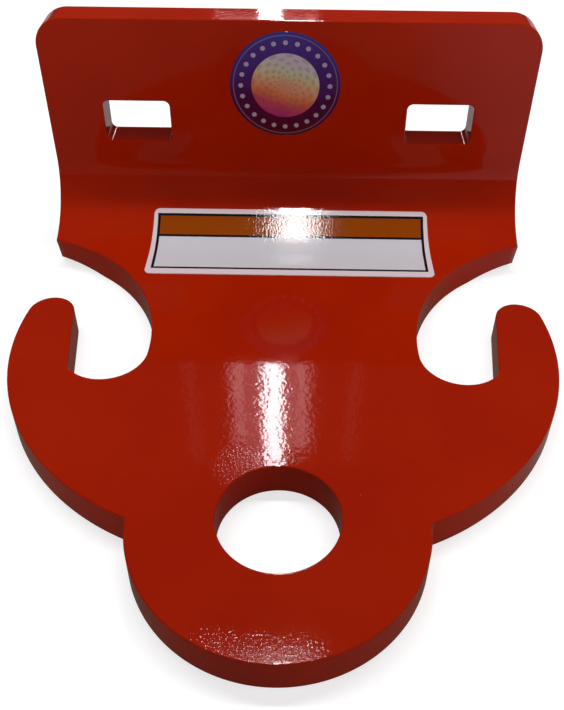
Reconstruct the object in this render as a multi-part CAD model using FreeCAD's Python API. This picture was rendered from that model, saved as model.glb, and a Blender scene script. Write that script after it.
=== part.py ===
"""Mower trailer hitch: one steel plate, cut with a tow hole and two side hooks and bent up
into a bolting flange, with a rectangular vinyl label and a round foil sticker. Millimetres.

Origin at the centre of the tow hole on the underside of the plate. +X is to the right seen
from the trailer, +Y points to the mower and the flange, +Z is up.
"""
import FreeCAD, Part
import math
import os

# Sheet: the steel plate with its paint
plate_width = 127.0
plate_thickness = 8.0
edge_bevel = 0.9
slot_edge_bevel = 0.5

# Bend between the drawbar and the flange
bend_inside_radius = 19.0
neutral_depth = 0.4

# Flange that bolts to the mower
flange_reach = 103.5
flange_height = 65.8
flange_corner_radius = 7.5
slot_length = 17.5
slot_height = 11.4
slot_spacing = 80.0
slot_rise = 38.1
slot_corner_radius = 1.6

# Nose with the tow hole
tow_hole_radius = 12.3
nose_radius = 29.6

# Side hooks
hook_arc_radius = 56.8
hook_arc_aside = 7.8
hook_arc_ahead = 51.6
hook_tip_radius = 5.7
hook_tip_ahead = 60.3
pocket_radius = 9.9
pocket_ahead = 46.8
pocket_side_inset = 1.3
pocket_corner_radius = 2.75

# Neck between the pockets, and the throat arcs that widen it to the shoulders, which lie
# this far past the start of the bend, measured on the flat blank
neck_width = 63.8
throat_radius = 43.8
shoulder_past_bend = 6.5

# Rectangular vinyl label, from the flat of the drawbar up into the bend
label_length = 76.2
label_height = 23.8
label_thickness = 0.2
label_corner_radius = 1.6
label_on_flat = 8.2
label_aside = 0.9

# Round foil sticker on the flange
sticker_radius = 14.3
sticker_thickness = 0.15
sticker_rise = 48.7
sticker_aside = -0.8

# Worked out from the sizes above
half_width = plate_width / 2
bend_start = flange_reach - bend_inside_radius
bend_axis_height = plate_thickness + bend_inside_radius
bend_outside_radius = bend_inside_radius + plate_thickness
neutral_radius = bend_inside_radius + neutral_depth * plate_thickness
up = FreeCAD.Vector(0, 0, 1)
right = FreeCAD.Vector(1, 0, 0)
ahead = FreeCAD.Vector(0, 1, 0)
origin = FreeCAD.Vector(0, 0, 0)
hook_centre = FreeCAD.Vector(hook_arc_aside, hook_arc_ahead, 0)
shoulder_ahead = bend_start + shoulder_past_bend
throat_aside = neck_width / 2 + throat_radius
throat_ahead = shoulder_ahead - math.sqrt(throat_radius ** 2 - (throat_aside - half_width) ** 2)
throat_centre = FreeCAD.Vector(throat_aside, throat_ahead, 0)


def polar(centre, radius, angle):
    """Point on a circle round centre, in the plane of the sheet."""
    return centre + FreeCAD.Vector(radius * math.cos(angle), radius * math.sin(angle), 0)


def bearing(start, end):
    """Angle of the direction from start to end."""
    return math.atan2(end.y - start.y, end.x - start.x)


def arc(centre, radius, first, last):
    """Arc edge from the first angle to the last, either way round."""
    middle = (first + last) / 2
    points = [polar(centre, radius, angle) for angle in (first, middle, last)]
    return Part.Arc(*points).toShape()


def throat_x(y):
    """Half width of the sheet where the throat arc passes y."""
    return throat_centre.x - math.sqrt(throat_radius ** 2 - (y - throat_centre.y) ** 2)


def hook_corner():
    """Where the circle of the nose cuts the outer arc of the hook, on the right."""
    reach = hook_centre.Length
    along = (nose_radius ** 2 - hook_arc_radius ** 2 + reach ** 2) / (2 * reach)
    across = math.sqrt(nose_radius ** 2 - along ** 2)
    direction = FreeCAD.Vector(hook_centre) / reach
    return direction * along + FreeCAD.Vector(direction.y, -direction.x, 0) * across


def half_outline():
    """Edges of the right half of the sheet, from the front of the nose to the shoulder.

    The tip circle touches the outer arc from inside. The pocket circle touches the throat arc
    from inside. The inner side of the hook is the straight line that touches the tip circle
    and passes the pocket's centre a little inside the pocket circle.
    """
    tip_swing = hook_arc_radius - hook_tip_radius
    tip_angle = math.asin((hook_tip_ahead - hook_arc_ahead) / tip_swing)
    tip_centre = polar(hook_centre, tip_swing, tip_angle)
    pocket_swing = throat_radius - pocket_radius
    pocket_angle = math.pi - math.asin((pocket_ahead - throat_ahead) / pocket_swing)
    pocket_centre = polar(throat_centre, pocket_swing, pocket_angle)

    side_distance = pocket_radius - pocket_side_inset
    centres_apart = (tip_centre - pocket_centre).Length
    side_turn = math.acos((hook_tip_radius + side_distance) / centres_apart)
    side_angle = bearing(pocket_centre, tip_centre) - side_turn
    side_foot = polar(pocket_centre, side_distance - pocket_corner_radius, side_angle)
    corner_drop = math.sqrt(
        (pocket_radius - pocket_corner_radius) ** 2 - (side_distance - pocket_corner_radius) ** 2)
    corner_centre = polar(side_foot, corner_drop, side_angle - math.pi / 2)
    corner_angle = bearing(pocket_centre, corner_centre)

    corner = hook_corner()
    side_top = polar(tip_centre, hook_tip_radius, side_angle + math.pi)
    side_bottom = polar(corner_centre, pocket_corner_radius, side_angle)
    shoulder = FreeCAD.Vector(half_width, shoulder_ahead, 0)
    shoulder_angle = bearing(throat_centre, shoulder)
    return [
        arc(origin, nose_radius, -math.pi / 2, bearing(origin, corner)),
        arc(hook_centre, hook_arc_radius, bearing(hook_centre, corner), tip_angle),
        arc(tip_centre, hook_tip_radius, tip_angle, side_angle + math.pi),
        Part.makeLine(side_top, side_bottom),
        arc(corner_centre, pocket_corner_radius, side_angle, corner_angle),
        arc(pocket_centre, pocket_radius, corner_angle, pocket_angle - 2 * math.pi),
        arc(throat_centre, throat_radius, pocket_angle, shoulder_angle),
    ]


def drawbar():
    """The flat stretch: nose, hooks, pockets and neck, back to where the bend starts."""
    back = max(bend_start, shoulder_ahead) + plate_thickness
    edges = half_outline()
    shoulder = FreeCAD.Vector(half_width, shoulder_ahead, 0)
    edges.append(Part.makeLine(shoulder, FreeCAD.Vector(half_width, back, 0)))
    edges += [edge.mirror(origin, right) for edge in edges]
    edges.append(Part.makeLine(FreeCAD.Vector(half_width, back, 0), FreeCAD.Vector(-half_width, back, 0)))
    outline = Part.Wire(Part.sortEdges(edges)[0])
    blank = Part.Face(outline).extrude(up * plate_thickness)
    hole = Part.makeCylinder(tow_hole_radius, plate_thickness)
    beyond = Part.makeBox(plate_width * 2, back, plate_thickness,
                          FreeCAD.Vector(-plate_width, bend_start, 0))
    return blank.cut([hole, beyond])


def bend_point(x, turn, depth):
    """Point on the ray that leaves the bend's axis at the given turn, depth below the axis."""
    return FreeCAD.Vector(x, bend_start + depth * math.tan(turn), bend_axis_height - depth)


def throat_cutter():
    """Removes the sheet beyond the right throat arc inside the bend.

    The blank was cut flat and bent afterwards, so its cut wall follows the rays from the
    bend's axis. The cutter is ruled between two level sections of those rays.
    """
    end_turn = (shoulder_ahead - bend_start) / neutral_radius
    clear = half_width + plate_thickness
    sections = []
    for depth in (bend_inside_radius / 2, bend_outside_radius + plate_thickness):
        start, middle, end = [
            bend_point(throat_x(bend_start + share * neutral_radius * end_turn), share * end_turn, depth)
            for share in (0, 0.5, 1)]
        far_end = bend_point(clear, end_turn, depth)
        far_start = bend_point(clear, 0, depth)
        sections.append(Part.Wire([
            Part.Arc(start, middle, end).toShape(),
            Part.makeLine(end, far_end),
            Part.makeLine(far_end, far_start),
            Part.makeLine(far_start, start)]))
    return Part.makeLoft(sections, True, True)


def bend():
    """The quarter turn from the drawbar up to the flange, across the full width."""
    axis = FreeCAD.Vector(-half_width, bend_start, bend_axis_height)

    def rim(radius):
        """Quarter circle round the bend's axis, from straight below it to level with it."""
        diagonal = radius / math.sqrt(2)
        points = [axis - up * radius, axis + ahead * diagonal - up * diagonal, axis + ahead * radius]
        return points, Part.Arc(*points).toShape()

    outside, outside_edge = rim(bend_outside_radius)
    inside, inside_edge = rim(bend_inside_radius)
    section = Part.Wire([outside_edge, Part.makeLine(outside[2], inside[2]),
                         inside_edge, Part.makeLine(inside[0], outside[0])])
    sector = Part.Face(section).extrude(right * plate_width)
    if shoulder_ahead > bend_start:
        cutter = throat_cutter()
        sector = sector.cut([cutter, cutter.mirror(origin, right)])
    return sector


def slot(centre_x):
    """Tool for one bolt slot, with small corner radii, right through the flange."""
    tool = Part.makeBox(slot_length, plate_thickness, slot_height,
                        FreeCAD.Vector(centre_x - slot_length / 2, flange_reach,
                                       slot_rise - slot_height / 2))
    corners = [edge for edge in tool.Edges if abs(edge.tangentAt(edge.FirstParameter).y) > 0.5]
    return tool.makeFillet(slot_corner_radius, corners)


def flange():
    """The upright plate with rounded top corners and two bolt slots."""
    plate = Part.makeBox(plate_width, plate_thickness, flange_height - bend_axis_height,
                         FreeCAD.Vector(-half_width, flange_reach, bend_axis_height))
    corners = [
        edge for edge in plate.Edges
        if abs(edge.tangentAt(edge.FirstParameter).y) > 0.5 and edge.CenterOfMass.z > bend_axis_height + 1]
    plate = plate.makeFillet(flange_corner_radius, corners)
    return plate.cut([slot(side * slot_spacing / 2) for side in (-1, 1)])


def is_skin(face):
    """True for the sheet's own two faces, flat or bent, and false for a cut wall."""
    surface = face.Surface
    if isinstance(surface, Part.Cylinder):
        return abs(surface.Axis.x) > 0.99
    if not isinstance(surface, Part.Plane):
        return False
    place = surface.Position
    level = abs(surface.Axis.z) > 0.99 and min(abs(place.z), abs(place.z - plate_thickness)) < 0.01
    back = flange_reach + plate_thickness
    upright = abs(surface.Axis.y) > 0.99 and min(abs(place.y - flange_reach), abs(place.y - back)) < 0.01
    return level or upright


def hitch_plate():
    """The whole plate, with a small bevel along the rims of its cut walls, slots and hole."""
    solid = drawbar().fuse([bend(), flange()]).removeSplitter().Solids[0]
    slot_rims = []
    rims = []
    for edge in solid.Edges:
        faces = solid.ancestorsOfType(edge, Part.Face)
        if len(faces) != 2 or is_skin(faces[0]) == is_skin(faces[1]):
            continue
        box = edge.BoundBox
        near_slot = abs(abs(box.Center.x) - slot_spacing / 2) < slot_length / 2 + 0.1
        if near_slot and abs(box.Center.z - slot_rise) < slot_height / 2 + 0.1:
            slot_rims.append(edge)
        else:
            rims.append(edge)
    solid = solid.makeChamfer(slot_edge_bevel, slot_rims)
    return solid.makeChamfer(edge_bevel, rims)


def plate_label():
    """Thin vinyl sheet: flat over the drawbar, then bent up with the inside of the bend."""
    turn = (label_height - label_on_flat) / bend_inside_radius
    left = label_aside - label_length / 2
    flat = Part.makeBox(label_length, label_on_flat, label_thickness,
                        FreeCAD.Vector(left, bend_start - label_on_flat, plate_thickness))
    axis = FreeCAD.Vector(left, bend_start, bend_axis_height)
    edge_on = Part.makePlane(label_length, label_thickness,
                             FreeCAD.Vector(left, bend_start, plate_thickness), -ahead, right)
    curved = edge_on.revolve(axis, right, math.degrees(turn))
    sheet = flat.fuse(curved).removeSplitter()
    corners = [edge for edge in sheet.Edges if abs(edge.Length - label_thickness) < 0.001
               and abs(edge.CenterOfMass.y - bend_start) > 1]
    return sheet.makeFillet(label_corner_radius, corners)


def round_sticker():
    """Thin foil disc stuck on the front face of the flange."""
    front = FreeCAD.Vector(sticker_aside, flange_reach - sticker_thickness, sticker_rise)
    return Part.makeCylinder(sticker_radius, sticker_thickness, front, ahead)


os.makedirs("parts", exist_ok=True)
for name, make in (("hitch_plate", hitch_plate), ("plate_label", plate_label),
                   ("round_sticker", round_sticker)):
    piece = make()
    print(name, piece.isValid(), len(piece.Solids), round(piece.Volume, 1), piece.BoundBox)
    piece.exportStep("parts/" + name + ".step")
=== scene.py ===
import math

import bpy
import numpy as np
from mathutils import Matrix, Vector
from mathutils.geometry import delaunay_2d_cdt


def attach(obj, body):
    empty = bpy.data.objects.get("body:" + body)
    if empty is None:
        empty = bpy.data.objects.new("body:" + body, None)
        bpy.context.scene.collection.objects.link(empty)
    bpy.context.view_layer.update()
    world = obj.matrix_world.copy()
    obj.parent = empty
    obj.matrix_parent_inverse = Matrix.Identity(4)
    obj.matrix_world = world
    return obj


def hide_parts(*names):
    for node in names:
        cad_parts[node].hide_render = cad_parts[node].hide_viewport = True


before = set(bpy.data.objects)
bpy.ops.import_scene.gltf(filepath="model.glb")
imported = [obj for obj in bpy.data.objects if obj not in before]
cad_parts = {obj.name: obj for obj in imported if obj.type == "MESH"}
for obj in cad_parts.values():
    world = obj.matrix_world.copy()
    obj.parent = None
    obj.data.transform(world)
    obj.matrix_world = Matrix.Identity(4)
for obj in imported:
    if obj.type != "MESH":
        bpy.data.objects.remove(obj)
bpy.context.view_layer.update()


# The hitch plate
# One piece of 8 mm steel plate, laser cut flat and bent once in a press brake, then powder
# coated orange-red. The thick glossy coat rounds every rim and keeps a fine orange peel.
mm = 0.001
half_width = 63.5 * mm
thickness = 8 * mm
rim_rounding = 0.4 * mm

bend_radius = 19 * mm
neutral_radius = bend_radius + 0.4 * thickness
flange_reach = 103.5 * mm
flange_height = 65.8 * mm
flange_corner = 7.5 * mm
slot_size = np.array([17.5, 11.4]) * mm
slot_corner = 1.6 * mm
slot_aside = 40 * mm
slot_rise = 38.1 * mm

tow_hole_radius = 12.3 * mm
nose_radius = 29.6 * mm
hook_radius = 56.8 * mm
hook_centre = np.array([7.8, 51.6]) * mm
tip_radius = 5.7 * mm
tip_ahead = 60.3 * mm
pocket_radius = 9.9 * mm
pocket_ahead = 46.8 * mm
pocket_side_inset = 1.3 * mm
pocket_corner = 2.75 * mm
neck_half_width = 31.9 * mm
throat_radius = 43.8 * mm
shoulder_past_bend = 6.5 * mm

bend_start = flange_reach - bend_radius
bend_end = bend_start + neutral_radius * math.pi / 2
axis_height = thickness + bend_radius
flange_top = bend_end + flange_height - axis_height
shoulder = np.array([half_width, bend_start + shoulder_past_bend])
throat_aside = neck_half_width + throat_radius
throat_drop = math.sqrt(throat_radius ** 2 - (throat_aside - half_width) ** 2)
throat_centre = np.array([throat_aside, shoulder[1] - throat_drop])

outline_step = 0.8 * mm
arc_turn = math.radians(7)
shoulder_clearance = 1.1 * mm
rounding_steps = 6
wall_steps = 3
bend_step = 0.8 * mm
net_step = 5 * mm


def polar(centre, radius, angle):
    """Centre plus radius times the cosine and sine of each angle."""
    return centre + radius * np.stack([np.cos(angle), np.sin(angle)], -1)


def bearing(start, end):
    """Angle of the direction from start to end."""
    return math.atan2(end[1] - start[1], end[0] - start[0])


def arc(centre, radius, first, last):
    """Evenly spaced points of an arc, from the first angle up to the last, which is left out."""
    turn = abs(last - first)
    count = math.ceil(max(turn * radius / outline_step, turn / arc_turn))
    return polar(centre, radius, first + (last - first) * np.arange(count) / count)


def straight(start, end):
    """Evenly spaced points of a line, from its start up to its end, which is left out."""
    count = math.ceil(np.linalg.norm(end - start) / outline_step)
    return start + (end - start) * np.arange(count)[:, None] / count


def half_outline():
    """Right half of the flat blank's edge, from the nose's front round to the flange's top.

    The tip circle touches the hook's arc from inside, and the pocket circle touches the
    throat's arc from inside. The hook's inner side is the line that touches the tip circle
    and passes the pocket's centre a little inside the pocket circle. The shoulder's corner
    has no points close beside it, which leaves room for the mitre of its rounded rim.
    """
    origin = np.zeros(2)
    reach = np.linalg.norm(hook_centre)
    along = (nose_radius ** 2 - hook_radius ** 2 + reach ** 2) / (2 * reach)
    across = math.sqrt(nose_radius ** 2 - along ** 2)
    towards = hook_centre / reach
    notch = towards * along + np.array([towards[1], -towards[0]]) * across

    tip_swing = hook_radius - tip_radius
    tip_angle = math.asin((tip_ahead - hook_centre[1]) / tip_swing)
    tip = polar(hook_centre, tip_swing, tip_angle)
    pocket_swing = throat_radius - pocket_radius
    pocket_angle = math.pi - math.asin((pocket_ahead - throat_centre[1]) / pocket_swing)
    pocket = polar(throat_centre, pocket_swing, pocket_angle)

    side_distance = pocket_radius - pocket_side_inset
    side_turn = math.acos((tip_radius + side_distance) / np.linalg.norm(tip - pocket))
    side_angle = bearing(pocket, tip) - side_turn
    foot = polar(pocket, side_distance - pocket_corner, side_angle)
    drop = math.sqrt((pocket_radius - pocket_corner) ** 2 - (side_distance - pocket_corner) ** 2)
    corner = polar(foot, drop, side_angle - math.pi / 2)
    corner_angle = bearing(pocket, corner)
    side_start = polar(tip, tip_radius, side_angle + math.pi)
    side_end = polar(corner, pocket_corner, side_angle)
    top_corner = np.array([half_width, flange_top]) - flange_corner

    outline = np.concatenate([
        arc(origin, nose_radius, -math.pi / 2, bearing(origin, notch)),
        arc(hook_centre, hook_radius, bearing(hook_centre, notch), tip_angle),
        arc(tip, tip_radius, tip_angle, side_angle + math.pi),
        straight(side_start, side_end),
        arc(corner, pocket_corner, side_angle, corner_angle),
        arc(pocket, pocket_radius, corner_angle, pocket_angle - 2 * math.pi),
        arc(throat_centre, throat_radius, pocket_angle, bearing(throat_centre, shoulder)),
        straight(shoulder, np.array([half_width, top_corner[1]])),
        arc(top_corner, flange_corner, 0, math.pi / 2),
        straight(np.array([top_corner[0], flange_top]), np.array([0, flange_top])),
        [[0, flange_top]]])
    from_shoulder = np.linalg.norm(outline - shoulder, axis=1)
    at_shoulder = from_shoulder < 0.001 * mm
    return outline[at_shoulder | (from_shoulder > shoulder_clearance)]


def slot_outline(aside):
    """Rounded rectangle on the blank, taken clockwise so that its outside faces the opening."""
    centre = np.array([aside, bend_end + slot_rise - axis_height])
    sides = np.array([[1, 1], [1, -1], [-1, -1], [-1, 1]])
    middles = centre + sides * (slot_size / 2 - slot_corner)
    starts = np.radians([90, 0, -90, -180])
    ends = starts - math.pi / 2
    firsts = polar(middles, slot_corner, starts)
    lasts = polar(middles, slot_corner, ends)
    nexts = np.roll(firsts, -1, 0)
    pieces = []
    for index in range(len(sides)):
        pieces.append(arc(middles[index], slot_corner, starts[index], ends[index]))
        pieces.append(straight(lasts[index], nexts[index]))
    return np.concatenate(pieces)


def fold(flat, height):
    """Point of the bent plate from a place on the flat blank and a height through the sheet.

    Past the start of the bend, a place turns about the bend's axis by its distance over the
    neutral radius, at the radius of its layer. Past the end it stands upright.
    """
    turn = np.clip((flat[..., 1] - bend_start) / neutral_radius, 0, math.pi / 2)
    radius = axis_height - height
    straight_on = np.minimum(flat[..., 1] - bend_start, 0)
    upright = np.maximum(flat[..., 1] - bend_end, 0)
    return np.stack([flat[..., 0],
                     bend_start + straight_on + radius * np.sin(turn),
                     axis_height - radius * np.cos(turn) + upright], -1)


def fold_direction(flat, height, outward, upward):
    """Unit normal of the bent plate from its parts in the blank's plane and through the sheet.

    Inside the bend a cut wall leans, because a layer is stretched by its radius over the
    neutral one, so the part across the plate is scaled by that ratio.
    """
    turn = np.clip((flat[..., 1] - bend_start) / neutral_radius, 0, math.pi / 2)
    bent = (turn > 0) & (turn < math.pi / 2)
    stretch = np.where(bent, (axis_height - height) / neutral_radius, 1)
    along = outward[..., 1]
    normal = np.stack([outward[..., 0] * stretch,
                       along * np.cos(turn) - upward * np.sin(turn),
                       along * np.sin(turn) + upward * np.cos(turn)], -1)
    return normal / np.linalg.norm(normal, axis=-1, keepdims=True)


def rim(loop):
    """Places, points and normals of a cut wall with rounded rims: a profile along a loop.

    The profile leaves the top face as a quarter circle, runs down the wall and turns under as
    another. At each point of the loop it is set in along the mitre of the two edges there.
    """
    edge = np.roll(loop, -1, 0) - loop
    edge /= np.linalg.norm(edge, axis=1, keepdims=True)
    after = np.stack([edge[:, 1], -edge[:, 0]], -1)
    before = np.roll(after, 1, 0)
    mitre = (after + before) / (1 + (after * before).sum(1, keepdims=True))
    facing = mitre / np.linalg.norm(mitre, axis=1, keepdims=True)

    turn = np.linspace(0, math.pi / 2, rounding_steps + 1)
    wall = np.linspace(thickness - rim_rounding, rim_rounding, wall_steps + 1)[1:-1]
    drop = rim_rounding * (1 - np.cos(turn))
    height = np.concatenate([thickness - drop, wall, drop[::-1]])
    outward = np.concatenate([np.sin(turn), np.ones(len(wall)), np.sin(turn[::-1])])
    upward = np.concatenate([np.cos(turn), np.zeros(len(wall)), -np.cos(turn[::-1])])
    inset = rim_rounding * (1 - outward)

    flat = loop[:, None] - mitre[:, None] * inset[:, None]
    normals = fold_direction(flat, height, facing[:, None] * outward[:, None], upward)
    return flat, fold(flat, height), normals


def inside(points, loops):
    """True for points with an odd number of crossings between a ray to the right and the loops."""
    crossings = np.zeros(len(points), int)
    for loop in loops:
        start, end = loop, np.roll(loop, -1, 0)
        spans = (start[:, 1] > points[:, None, 1]) != (end[:, 1] > points[:, None, 1])
        rise = np.where(start[:, 1] == end[:, 1], 1, end[:, 1] - start[:, 1])
        meets = start[:, 0] + (points[:, None, 1] - start[:, 1]) / rise * (end[:, 0] - start[:, 0])
        crossings += (spans & (points[:, None, 0] < meets)).sum(1)
    return crossings % 2 == 1


def skin(loops):
    """Places and triangles that fill the blank between its outline and its openings.

    Rows of places run across the plate, close together in the bend and wider apart in the
    flat, and a constrained Delaunay net joins them to the loops.
    """
    least_gap = 1e-9
    least_area = 1e-14
    rows = np.concatenate([np.arange(-nose_radius, bend_start, net_step),
                           np.arange(bend_start, bend_end, bend_step),
                           np.arange(bend_end, flange_top, net_step)])
    columns = np.arange(-half_width, half_width, net_step) + net_step / 2
    places = np.stack(np.meshgrid(columns, rows), -1).reshape(-1, 2)
    places = places[inside(places, loops)]
    edge = np.concatenate(loops)
    gap = np.linalg.norm(places[:, None] - edge[None], axis=-1).min(1)
    places = np.concatenate([edge, places[gap > outline_step]])

    cuts = np.cumsum([len(loop) for loop in loops])[:-1]
    numbers = np.split(np.arange(len(edge)), cuts)
    joins = np.concatenate([np.stack([loop, np.roll(loop, -1)], -1) for loop in numbers])
    net = delaunay_2d_cdt(places, joins.tolist(), [], 0, least_gap)
    assert len(net[0]) == len(places)

    triangles = np.array(net[2])
    corners = places[triangles]
    first, second = corners[:, 1] - corners[:, 0], corners[:, 2] - corners[:, 0]
    area = first[:, 0] * second[:, 1] - first[:, 1] * second[:, 0]
    triangles = np.where((area < 0)[:, None], triangles[:, ::-1], triangles)
    return places, triangles[inside(corners.mean(1), loops) & (np.abs(area) > least_area)]


def make_piece(name, points, faces, normals=None, smooth=True):
    """A piece from its points and faces and, where they are given, the points' normals.

    Smooth is one flag for the whole piece, or an array with one for each face.
    """
    mesh = bpy.data.meshes.new(name)
    mesh.from_pydata(points.tolist(), [], faces)
    mesh.polygons.foreach_set("use_smooth", np.full(len(faces), smooth))
    mesh.update()
    if normals is not None:
        mesh.normals_split_custom_set_from_vertices(normals.tolist())
    piece = bpy.data.objects.new(name, mesh)
    bpy.context.scene.collection.objects.link(piece)
    return piece


def plate_piece():
    """The plate: a rounded cut wall round each loop, and one net of triangles on both faces."""
    right = half_outline()
    left = right[-2:0:-1] * (-1, 1)
    loops = [np.concatenate([right, left]),
             arc(np.zeros(2), tow_hole_radius, 2 * math.pi, 0),
             slot_outline(-slot_aside),
             slot_outline(slot_aside)]
    points, normals, faces, edges, upper, lower = [], [], [], [], [], []
    base = 0
    for loop in loops:
        flat, wall, facing = rim(loop)
        index = base + np.arange(flat.size // 2).reshape(flat.shape[:2])
        beside = np.roll(index, -1, 0)
        quads = np.stack([index[:, :-1], index[:, 1:], beside[:, 1:], beside[:, :-1]], -1)
        faces += quads.reshape(-1, 4).tolist()
        points.append(wall.reshape(-1, 3))
        normals.append(facing.reshape(-1, 3))
        edges.append(flat[:, 0])
        upper.append(index[:, 0])
        lower.append(index[:, -1])
        base += index.size

    places, triangles = skin(edges)
    inner = places[len(np.concatenate(edges)):]
    level = np.zeros_like(inner)
    for height, edge, order, upward in ((thickness, upper, 1, 1), (0, lower, -1, -1)):
        numbers = np.concatenate(edge + [base + np.arange(len(inner))])
        faces += numbers[triangles][:, ::order].tolist()
        points.append(fold(inner, height))
        normals.append(fold_direction(inner, height, level, upward))
        base += len(inner)
    return make_piece("painted_plate", np.concatenate(points), faces, np.concatenate(normals))


class Wire:
    """An output socket of a material. Sums, differences and products of wires add Math nodes."""

    def __init__(self, tree, socket=None):
        self.tree = tree
        self.socket = socket

    def add(self, kind, settings=None, inputs=None, output=0):
        """A new node: its settings first, a ramp's stops among them, then its inputs."""
        node = self.tree.nodes.new("ShaderNode" + kind)
        for name, value in (settings or {}).items():
            if name == "stops":
                ramp = node.color_ramp
                while len(ramp.elements) < len(value):
                    ramp.elements.new(0.5)
                for element, (position, colour) in zip(ramp.elements, value):
                    element.position = position
                    element.color = (*colour, 1)
            else:
                setattr(node, name, value)
        for name, value in (inputs or {}).items():
            if isinstance(value, Wire):
                self.tree.links.new(value.socket, node.inputs[name])
            else:
                node.inputs[name].default_value = value
        return Wire(self.tree, node.outputs[output] if node.outputs else None)

    def math(self, operation, *values):
        """A Math node on these values."""
        return self.add("Math", {"operation": operation}, dict(enumerate(values)))

    def mix(self, first, second):
        """Blends two colours by this wire, from the first at 0 to the second at 1."""
        return self.add("Mix", {"data_type": "RGBA"}, {0: self, 6: first, 7: second}, 2)

    def between(self, low, high):
        """0 below low and 1 above high, with a smooth step between them."""
        inputs = {0: self, 1: low, 2: high, 3: 0.0, 4: 1.0}
        return self.add("MapRange", {"interpolation_type": "SMOOTHSTEP"}, inputs)

    def __add__(self, other):
        return self.math("ADD", self, other)

    def __sub__(self, other):
        return self.math("SUBTRACT", self, other)

    def __rsub__(self, other):
        return self.math("SUBTRACT", other, self)

    def __mul__(self, other):
        return self.math("MULTIPLY", self, other)

    def __abs__(self):
        return self.math("ABSOLUTE", self)

    __radd__ = __add__
    __rmul__ = __mul__


def new_finish(name):
    """An empty material, and a wire with which its nodes are added."""
    material = bpy.data.materials.new(name)
    material.use_nodes = True
    material.node_tree.nodes.clear()
    return material, Wire(material.node_tree)


def cloud(place, scale, detail=2.0):
    """Soft noise over a place, with about this many features in a metre."""
    return place.add("TexNoise", None, {"Vector": place, "Scale": scale, "Detail": detail})


def bumped(relief):
    """The normal of a surface with this relief, which is given in units of a hundredth of a mm."""
    inputs = {"Strength": 1.0, "Distance": 0.01 * mm, "Height": relief}
    return relief.add("Bump", None, inputs)


def coat(nodes, inputs):
    """Closes a material with a Principled shader that takes these inputs."""
    shader = nodes.add("BsdfPrincipled", None, inputs)
    nodes.add("OutputMaterial", None, {"Surface": shader})


def powder_coat():
    """Orange-red powder coat: deep even colour, high gloss, orange peel, flow and a few nibs."""
    full_colour = (0.335, 0.0118, 0.0005, 1)
    thin_colour = (0.315, 0.0100, 0.0004, 1)
    rim_band_start = nose_radius - 7 * mm
    rim_band_end = nose_radius - 0.5 * mm
    material, nodes = new_finish("orange_red_powder_coat")
    place = nodes.add("TexCoord", output="Object")

    def distance(x, y):
        """How far a place is from a point on the drawbar's top face."""
        ends = {0: place, 1: (x, y, thickness)}
        return nodes.add("VectorMath", {"operation": "DISTANCE"}, ends, "Value")

    def patch(x, y, reach):
        """1 near a point on the drawbar and fading to 0 at its reach."""
        return 1 - distance(x, y).between(0.3 * reach, reach)

    near_rim = distance(0, 0).between(rim_band_start, rim_band_end)
    on_nose = patch(-4 * mm, -29.5 * mm, 17 * mm) * (0.20 + near_rim * 1.3)
    by_hole = patch(-9 * mm, 12 * mm, 7 * mm)
    at_sides = patch(-27 * mm, 6 * mm, 10 * mm) + patch(18 * mm, 4 * mm, 6 * mm)
    rough = on_nose + by_hole + at_sides * 0.5

    flow = cloud(place, 90, 1)
    peel = cloud(place, 420)
    grain = cloud(place, 1100, 1)
    nibs = cloud(place, 2000, 1).between(0.50, 0.80) * rough
    blotches = cloud(place, 38, 3).between(0.35, 0.65)
    coat(nodes, {
        "Base Color": blotches.mix(thin_colour, full_colour),
        "Roughness": 0.030 + cloud(place, 300) * 0.040 + rough * 0.045,
        "IOR": 1.5,
        "Normal": bumped(flow * 2.2 + peel * 1.2 + grain * 0.8 + nibs * 1.9)})
    return material


plate = plate_piece()
plate.data.materials.append(powder_coat())
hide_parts("hitch_plate")
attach(plate, "root")


# The rectangular label
# A printed vinyl sheet, 3 in long with rounded corners, stuck on the flat of the plate and up
# into the bend. It has a white border, a black frame and a plain orange band along the top.
label_size = np.array([76.2, 23.8]) * mm
label_corner = 1.6 * mm
label_on_flat = 8.2 * mm
label_aside = 0.9 * mm
label_thickness = 0.16 * mm
label_taper = 0.012
label_columns = 90
label_rows = 40


def label_sheet():
    """Grid of places on the flat label, across and up from its centre.

    Each row is as long as a rectangle with rounded corners is at that height: near the ends,
    the corner's circle takes off the radius less the circle's half chord. The label narrows
    very slightly upwards, as it went on with a pull.
    """
    half_length, half_height = label_size / 2
    up = -half_height * np.cos(np.linspace(0, math.pi, label_rows))
    over = np.maximum(np.abs(up) - (half_height - label_corner), 0)
    half_row = half_length - label_corner + np.sqrt(np.maximum(label_corner ** 2 - over ** 2, 0))
    half_row *= 1 - label_taper * up / label_size[1]
    across = -np.cos(np.linspace(0, math.pi, label_columns)) * half_row[:, None]
    return np.stack([across, np.repeat(up[:, None], label_columns, 1)], -1)


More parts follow.
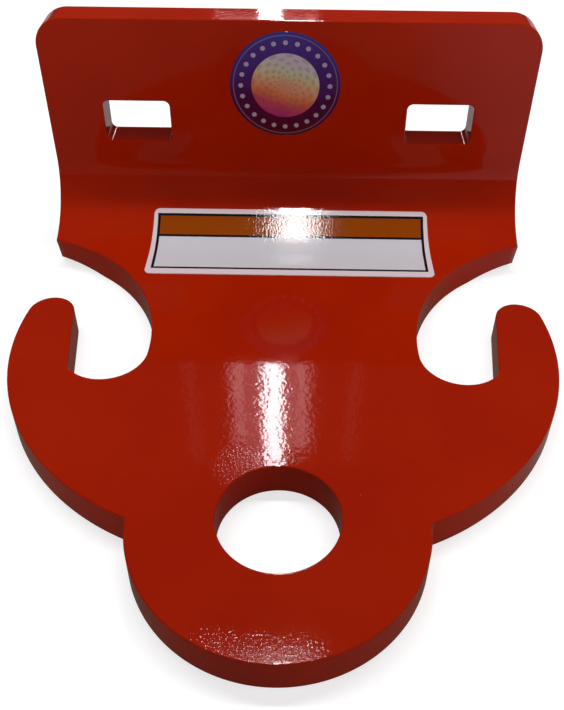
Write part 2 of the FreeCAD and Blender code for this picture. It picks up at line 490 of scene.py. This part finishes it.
def label_piece():
    """The label: a sheet that follows the plate's face up the bend, with its edges closed down.

    Past the start of the bend, a place turns about the bend's axis by its distance over the
    bend's radius. The upper layer lies nearer to the axis by the label's thickness.
    """
    sheet = label_sheet()
    run = sheet[..., 1] + label_size[1] / 2 - label_on_flat
    turn = np.maximum(run, 0) / bend_radius
    radius = bend_radius - np.array([label_thickness, 0])[:, None, None]
    across = np.broadcast_to(sheet[..., 0] + label_aside, (2, *turn.shape))
    points = np.stack([across,
                       bend_start + np.minimum(run, 0) + radius * np.sin(turn),
                       axis_height - radius * np.cos(turn)], -1).reshape(-1, 3)

    index = np.arange(turn.size).reshape(turn.shape)
    ring = np.concatenate([index[0], index[1:, -1], index[-1, -2::-1], index[-2:0:-1, 0]])
    after = np.roll(ring, -1)
    upper = np.stack([index[:-1, :-1], index[:-1, 1:], index[1:, 1:], index[1:, :-1]], -1)
    upper = upper.reshape(-1, 4)
    lower = upper[:, ::-1] + index.size
    edge = np.stack([ring, ring + index.size, after + index.size, after], -1)
    faces = np.concatenate([upper, lower, edge]).tolist()
    smooth = np.arange(len(faces)) < len(upper) + len(lower)
    piece = make_piece("printed_label", points, faces, smooth=smooth)
    lay_out(piece, np.tile(sheet.reshape(-1, 2), (2, 1)))
    return piece


def lay_out(piece, places):
    """Keeps each point's place on the flat sheet, in metres, as the piece's UV map."""
    loops = np.zeros(len(piece.data.loops), int)
    piece.data.loops.foreach_get("vertex_index", loops)
    piece.data.uv_layers.new(name="print").data.foreach_set("uv", places[loops].ravel())


def on_sheet(nodes):
    """A place on the flat sheet, read from the UV map, and its parts across and up."""
    sheet = nodes.add("UVMap", {"uv_map": "print"})
    across = nodes.add("SeparateXYZ", None, {"Vector": sheet}, "X")
    up = nodes.add("SeparateXYZ", None, {"Vector": sheet}, "Y")
    return sheet, across, up


def dimmed(colour, share):
    """The same colour with its red, green and blue multiplied by the share."""
    return (*(share * part for part in colour[:3]), 1)


def label_print():
    """Gloss vinyl: white border, thin black frame, orange band, dividing line and pale field."""
    frame_half_size = np.array([36.85, 10.1]) * mm
    frame_rise = 0.45 * mm
    divider_rise = 3.78 * mm
    line = 0.75 * mm
    soft = 0.05 * mm
    white = (0.62, 0.53, 0.56, 1)
    field_white = (0.54, 0.53, 0.57, 1)
    black = (0.008, 0.006, 0.009, 1)
    orange = (0.255, 0.046, 0.0004, 1)
    material, nodes = new_finish("printed_vinyl")
    sheet, across, up = on_sheet(nodes)

    wobble = (cloud(sheet, 1400, 1) - 0.5) * (0.10 * mm)
    from_side = frame_half_size[0] - abs(across)
    from_end = frame_half_size[1] - abs(up - frame_rise)
    from_frame = nodes.math("MINIMUM", from_side, from_end) + wobble
    in_frame = from_frame.between(-soft, soft)
    in_panel = from_frame.between(line - soft, line + soft)
    above_divider = up - divider_rise + wobble
    in_band = above_divider.between(-soft, soft)
    on_divider = 1 - abs(above_divider).between(line / 2 - soft, line / 2 + soft)

    ink = cloud(sheet, 5200).between(0.30, 0.75)
    field = ink.mix(field_white, dimmed(field_white, 0.94))
    band = ink.mix(orange, dimmed(orange, 0.88))
    panel = on_divider.mix(in_band.mix(field, band), black)
    coat(nodes, {
        "Base Color": in_frame.mix(white, in_panel.mix(black, panel)),
        "Roughness": 0.025 + cloud(sheet, 700) * 0.04,
        "IOR": 1.46,
        "Normal": bumped(cloud(sheet, 420, 1) * 0.6 + cloud(sheet, 1700, 1) * 1.5)})
    return material


label = label_piece()
label.data.materials.append(label_print())
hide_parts("plate_label")
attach(label, "root")


# The round sticker
# A disc of holographic foil on the front of the flange. A dark violet-blue ring is printed
# over the foil, with a ring of small dots left clear, and the middle shows the bare foil.
# The ring's purple-red bottom and brighter blue top, and the middle's rainbow bands, are
# painted reflections of the foil.
sticker_radius = 14.3 * mm
sticker_aside = -0.8 * mm
sticker_rise = 48.7 * mm
sticker_thickness = 0.13 * mm
sticker_rings = 24
sticker_spokes = 96


def sticker_piece():
    """The sticker: rings of points about its centre, thinning over a tiny rounded rim.

    The rim is a quarter of an ellipse, as high as the sticker is thick and twice as wide.
    """
    radius = sticker_radius * np.sin(np.linspace(0, math.pi / 2, sticker_rings + 1))[1:]
    angle = np.linspace(0, 2 * math.pi, sticker_spokes, endpoint=False)
    edge = np.clip((sticker_radius - radius) / (2 * sticker_thickness), 0, 1)
    lift = sticker_thickness * np.sqrt(1 - (1 - edge) ** 2)
    flat = polar(0, radius[:, None, None], angle).reshape(-1, 2)
    flat = np.concatenate([flat, np.zeros((2, 2))])
    rise = np.concatenate([np.repeat(lift, sticker_spokes), [sticker_thickness, 0]])
    points = np.stack([flat[:, 0] + sticker_aside,
                       flange_reach - rise,
                       flat[:, 1] + sticker_rise], -1)

    ring = np.arange(sticker_rings * sticker_spokes).reshape(sticker_rings, sticker_spokes)
    beside = np.roll(ring, -1, 1)
    front = np.full(sticker_spokes, ring.size)
    back = front + 1
    quads = np.stack([ring[:-1], ring[1:], beside[1:], beside[:-1]], -1).reshape(-1, 4)
    middle = np.stack([front, ring[0], beside[0]], -1)
    under = np.stack([back, beside[-1], ring[-1]], -1)
    faces = quads.tolist() + middle.tolist() + under.tolist()
    piece = make_piece("foil_sticker", points, faces)
    lay_out(piece, flat)
    return piece


def foil_print():
    """Holographic foil under clear film: rainbow middle, dark ring, thin line and clear dots.

    The rainbow, and the ring's shift from purple-red below to blue above, are painted reflections.
    """
    middle_radius = 8.75 * mm
    dot_ring_radius = 11.5 * mm
    dot_count = 24
    dot_radius = 0.62 * mm
    line_radius = sticker_radius - 0.9 * mm
    line_half_width = 0.11 * mm
    petals = 12
    petal_length = 1.1 * mm
    soft = 0.06 * mm
    clear = (0.38, 0.34, 0.42, 1)
    engraved_colour = (0.16, 0.060, 0.120, 1)
    # Painted reflection: the foil's rainbow colours, from purple at the bottom to pale at the top.
    painted_rainbow_stops = [
        (0.00, (0.38, 0.032, 0.180)), (0.18, (0.48, 0.070, 0.100)), (0.34, (0.60, 0.200, 0.060)),
        (0.50, (0.64, 0.320, 0.190)), (0.62, (0.60, 0.490, 0.260)), (0.74, (0.55, 0.570, 0.420)),
        (0.88, (0.55, 0.520, 0.590)), (1.00, (0.54, 0.500, 0.570))]
    # The ring's dark violet ink with a painted sheen: purple-red at the bottom, brighter blue at
    # the top.
    ring_sheen_stops = [
        (0.00, (0.064, 0.0030, 0.010)), (0.35, (0.044, 0.0040, 0.040)),
        (0.65, (0.042, 0.0160, 0.130)), (1.00, (0.044, 0.0340, 0.210))]
    material, nodes = new_finish("holographic_foil")
    sheet, across, up = on_sheet(nodes)
    from_centre = nodes.add("VectorMath", {"operation": "LENGTH"}, {0: sheet}, "Value")
    turn = nodes.math("ARCTAN2", up, across)

    dot_turn = nodes.math("PINGPONG", turn + math.pi, math.pi / dot_count)
    off_ring = from_centre - dot_ring_radius
    off_dot = dot_turn * from_centre
    from_dot = nodes.math("SQRT", off_ring * off_ring + off_dot * off_dot)
    on_dot = 1 - from_dot.between(dot_radius - soft, dot_radius + soft)
    from_line = abs(from_centre - line_radius)
    on_line = 1 - from_line.between(line_half_width, line_half_width + soft)

    # Painted sheen: the ring goes from purple-red at the bottom to brighter blue at the top.
    sheen_rise = up * (0.5 / sticker_radius) + 0.5 + (cloud(sheet, 140) - 0.5) * 0.30
    ring = nodes.add("ValToRGB", {"stops": ring_sheen_stops}, {0: sheen_rise})
    left_clear = nodes.math("MAXIMUM", on_dot * 0.85, on_line * 0.25)

    # Painted reflection: the rainbow runs in bands up the middle, slanted a little.
    slant = (up + across * 0.28) * (0.5 / middle_radius) + 0.5 + (cloud(sheet, 160, 1) - 0.5) * 0.22
    painted_rainbow = nodes.add("ValToRGB", {"stops": painted_rainbow_stops}, {0: slant})
    around = nodes.math("SINE", turn * petals)
    outwards = nodes.math("SINE", from_centre * (math.pi / petal_length))
    engraved = (around * outwards).between(-0.10, 0.60)
    middle = (engraved * 0.26).mix(painted_rainbow, engraved_colour)
    in_middle = 1 - from_centre.between(middle_radius - soft, middle_radius + soft)

    coat(nodes, {
        "Base Color": in_middle.mix(left_clear.mix(ring, clear), middle),
        "Metallic": in_middle * 0.25,
        "Roughness": 0.05 + cloud(sheet, 900) * 0.05,
        "IOR": 1.5,
        "Normal": bumped(cloud(sheet, 1300) * 0.6 + in_middle * engraved * 0.3)})
    return material


sticker = sticker_piece()
sticker.data.materials.append(foil_print())
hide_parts("round_sticker")
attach(sticker, "root")


# The floor and the room
# A plain white sheet under the plate. It shows white to the camera and keeps the plate's
# soft shadow. The paint mirrors a dim floor and room instead, and so keeps its depth. Where
# it is mirrored, the floor's glow is uneven, as a painted reflection.
def make_floor():
    """A square of white floor at the plate's underside."""
    half_side = 3.0
    glow_start = 0.30
    glow_end = 0.90
    plate_back = 0.10
    behind_plate = 0.14
    mirrored_half_width = 0.10
    paper = (0.50, 0.50, 0.50, 1)
    near_glow = (0.64, 0.64, 0.64, 1)
    far_glow = (1, 1, 1, 1)
    mirrored_behind = (0.45, 0.43, 0.44, 1)
    # Painted reflection: the mirrored floor glows darker in the middle, brighter to the sides, most
    # to the right.
    mirrored_stops = [
        (0.0, (0.13, 0.11, 0.09)), (0.5, (0.07, 0.055, 0.045)),
        (0.84, (0.12, 0.10, 0.08)), (1.0, (0.32, 0.29, 0.29))]
    material, nodes = new_finish("white_floor")
    place = nodes.add("TexCoord", output="Object")
    from_plate = nodes.add("VectorMath", {"operation": "LENGTH"}, {0: place}, "Value")
    aside = nodes.add("SeparateXYZ", None, {"Vector": place}, "X")
    ahead = nodes.add("SeparateXYZ", None, {"Vector": place}, "Y")

    lit = nodes.add("BsdfDiffuse", None, {"Color": paper})
    glow_colour = from_plate.between(glow_start, glow_end).mix(near_glow, far_glow)
    glow = nodes.add("Emission", None, {"Color": glow_colour, "Strength": 1.0})
    white = nodes.add("AddShader", None, {0: lit, 1: glow})
    across = aside.between(-mirrored_half_width, mirrored_half_width)
    mirrored_near = nodes.add("ValToRGB", {"stops": mirrored_stops}, {0: across})
    # Painted reflection: behind the plate the mirrored floor glows brighter.
    mirrored = ahead.between(plate_back, behind_plate).mix(mirrored_near, mirrored_behind)
    dim = nodes.add("Emission", None, {"Color": mirrored, "Strength": 1.0})

    seen = nodes.add("LightPath", output="Is Camera Ray")
    glossy = nodes.add("LightPath", output="Is Glossy Ray")
    shown = nodes.add("MixShader", None, {0: seen, 1: lit, 2: white})
    shader = nodes.add("MixShader", None, {0: glossy, 1: shown, 2: dim})
    nodes.add("OutputMaterial", None, {"Surface": shader})
    corners = np.array([[-1, -1, 0], [1, -1, 0], [1, 1, 0], [-1, 1, 0]]) * half_side
    floor = make_piece("floor", corners, [[0, 1, 2, 3]], smooth=False)
    floor.data.materials.append(material)


def make_room():
    """White where the camera looks past the floor, and a dim grey room for everything else."""
    room_light = 0.035
    world = bpy.data.worlds.new("room")
    world.use_nodes = True
    world.node_tree.nodes.clear()
    nodes = Wire(world.node_tree)
    seen = nodes.add("LightPath", output="Is Camera Ray")
    white = nodes.add("Background", None, {"Color": (1, 1, 1, 1), "Strength": 1.0})
    dim = nodes.add("Background", None, {"Color": (1, 1, 1, 1), "Strength": room_light})
    shader = nodes.add("MixShader", None, {0: seen, 1: dim, 2: white})
    nodes.add("OutputWorld", None, {"Surface": shader})
    bpy.context.scene.world = world


make_floor()
make_room()


# The studio lamps
# Soft lamps on the camera's side and a long one high over the flange give the even light.
# The bright streaks are the mirror images of narrow lamps behind the plate and overhead.
aim = Vector((0, 0.035, 0.01))
window_rise = 36
window_tint = (1, 0.60, 0.66)
window_edge_tint = (1, 0.75, 0.75)


def add_lamp(name, azimuth, elevation, size, radiance, colour=(1, 1, 1), distance=1.0,
             gloss=True, spread=True):
    """A rectangular lamp that faces the plate. Azimuth 0 is behind it and 180 is at the camera.

    Its power is radiance times area times pi, so that the lamp looks as bright as it says.
    Without gloss the paint doesn't mirror it, and without spread it is mirrored only.
    """
    turn = math.radians(azimuth)
    rise = math.radians(elevation)
    away = Vector((math.sin(turn) * math.cos(rise),
                   math.cos(turn) * math.cos(rise),
                   math.sin(rise)))
    lamp = bpy.data.lights.new(name, "AREA")
    lamp.shape = "RECTANGLE"
    lamp.size, lamp.size_y = size
    lamp.energy = radiance * size[0] * size[1] * math.pi
    lamp.color = colour
    holder = bpy.data.objects.new(name, lamp)
    holder.location = aim + away * distance
    holder.rotation_mode = "QUATERNION"
    holder.rotation_quaternion = away.to_track_quat("Z", "Y")
    holder.visible_glossy = gloss
    holder.visible_diffuse = spread
    holder.visible_camera = False
    bpy.context.scene.collection.objects.link(holder)


add_lamp("overhead", 0, 75.9, (0.50, 0.018), 43.0, distance=0.402, gloss=False)
add_lamp("soft_key", 180, 62, (1.6, 1.1), 0.70, gloss=False)
add_lamp("front_lamp", 180, 28, (0.45, 0.26), 9.3, gloss=False)
add_lamp("low_fill", 180, 24, (1.4, 0.4), 0.45, gloss=False)
add_lamp("right_fill", 105, 14, (0.8, 0.4), 2.2, gloss=False)
add_lamp("window_strip", -2.2, window_rise, (0.026, 0.55), 22.0, (1, 0.97, 1))
add_lamp("window_left", -4.7, window_rise, (0.062, 0.50), 1.2, window_tint)
add_lamp("window_right", 0.1, window_rise, (0.050, 0.50), 1.2, window_tint)
add_lamp("window_left_edge", -6.2, window_rise, (0.012, 0.48), 1.8, window_edge_tint)
add_lamp("window_right_edge", 1.0, window_rise, (0.012, 0.48), 1.8, window_edge_tint)
add_lamp("far_left", -11.6, 46, (0.012, 0.15), 0.15)
add_lamp("far_right", 7.0, 46, (0.012, 0.15), 0.15)
add_lamp("ceiling_lamp", 180, 83, (0.056, 1.20), 34.0, spread=False)


# The camera
# A phone held close over the plate, looking down at it from the trailer's side.
camera_place = Vector((2.81, -99.55, 142.78)) * mm
camera_pitch = 0.6816
camera_yaw = -0.0082
camera_roll = 0.0098
focal_pixels = 842.4
centre_pixel = (290.8, 298.9)
picture_pixels = (564, 710)


def make_camera():
    """The camera at the photograph's place and angle, with its focal length and framing."""
    longest = max(picture_pixels)
    lens = bpy.data.cameras.new("camera")
    lens.lens = lens.sensor_width * focal_pixels / longest
    lens.shift_x = (picture_pixels[0] / 2 - centre_pixel[0]) / longest
    lens.shift_y = (centre_pixel[1] - picture_pixels[1] / 2) / longest
    lens.clip_start = 0.01
    yaw = Matrix.Rotation(-camera_yaw, 4, "Z")
    pitch = Matrix.Rotation(math.pi / 2 - camera_pitch, 4, "X")
    roll = Matrix.Rotation(camera_roll, 4, "Z")
    camera = bpy.data.objects.new("camera", lens)
    camera.matrix_world = Matrix.Translation(camera_place) @ yaw @ pitch @ roll
    bpy.context.scene.collection.objects.link(camera)
    bpy.context.scene.camera = camera


make_camera()
bpy.context.scene.view_settings.view_transform = "Standard"


# The phone's shade
# The phone that holds the camera, as a black card behind the lens. It keeps some of the light
# off the nose. Neither the camera nor the paint's reflections show it.
phone_half_width = 45 * mm
phone_above_lens = 4.5 * mm
phone_below_lens = 103.5 * mm
phone_behind_lens = 6 * mm


def make_shade():
    """A card as wide as a phone, hanging down from the camera in the plane of its picture."""
    left, right = -phone_half_width, phone_half_width
    top, bottom = phone_above_lens, -phone_below_lens
    corners = np.array([[left, top], [right, top], [right, bottom], [left, bottom]])
    matrix = np.array(bpy.context.scene.camera.matrix_world)
    points = corners @ matrix[:3, :2].T + matrix[:3, 3] + matrix[:3, 2] * phone_behind_lens
    material, nodes = new_finish("black_card")
    shader = nodes.add("BsdfDiffuse", None, {"Color": (0.02, 0.02, 0.02, 1)})
    nodes.add("OutputMaterial", None, {"Surface": shader})
    card = make_piece("shade_card", points, [[0, 1, 2, 3]], smooth=False)
    card.data.materials.append(material)
    card.visible_camera = False
    card.visible_glossy = False


make_shade()
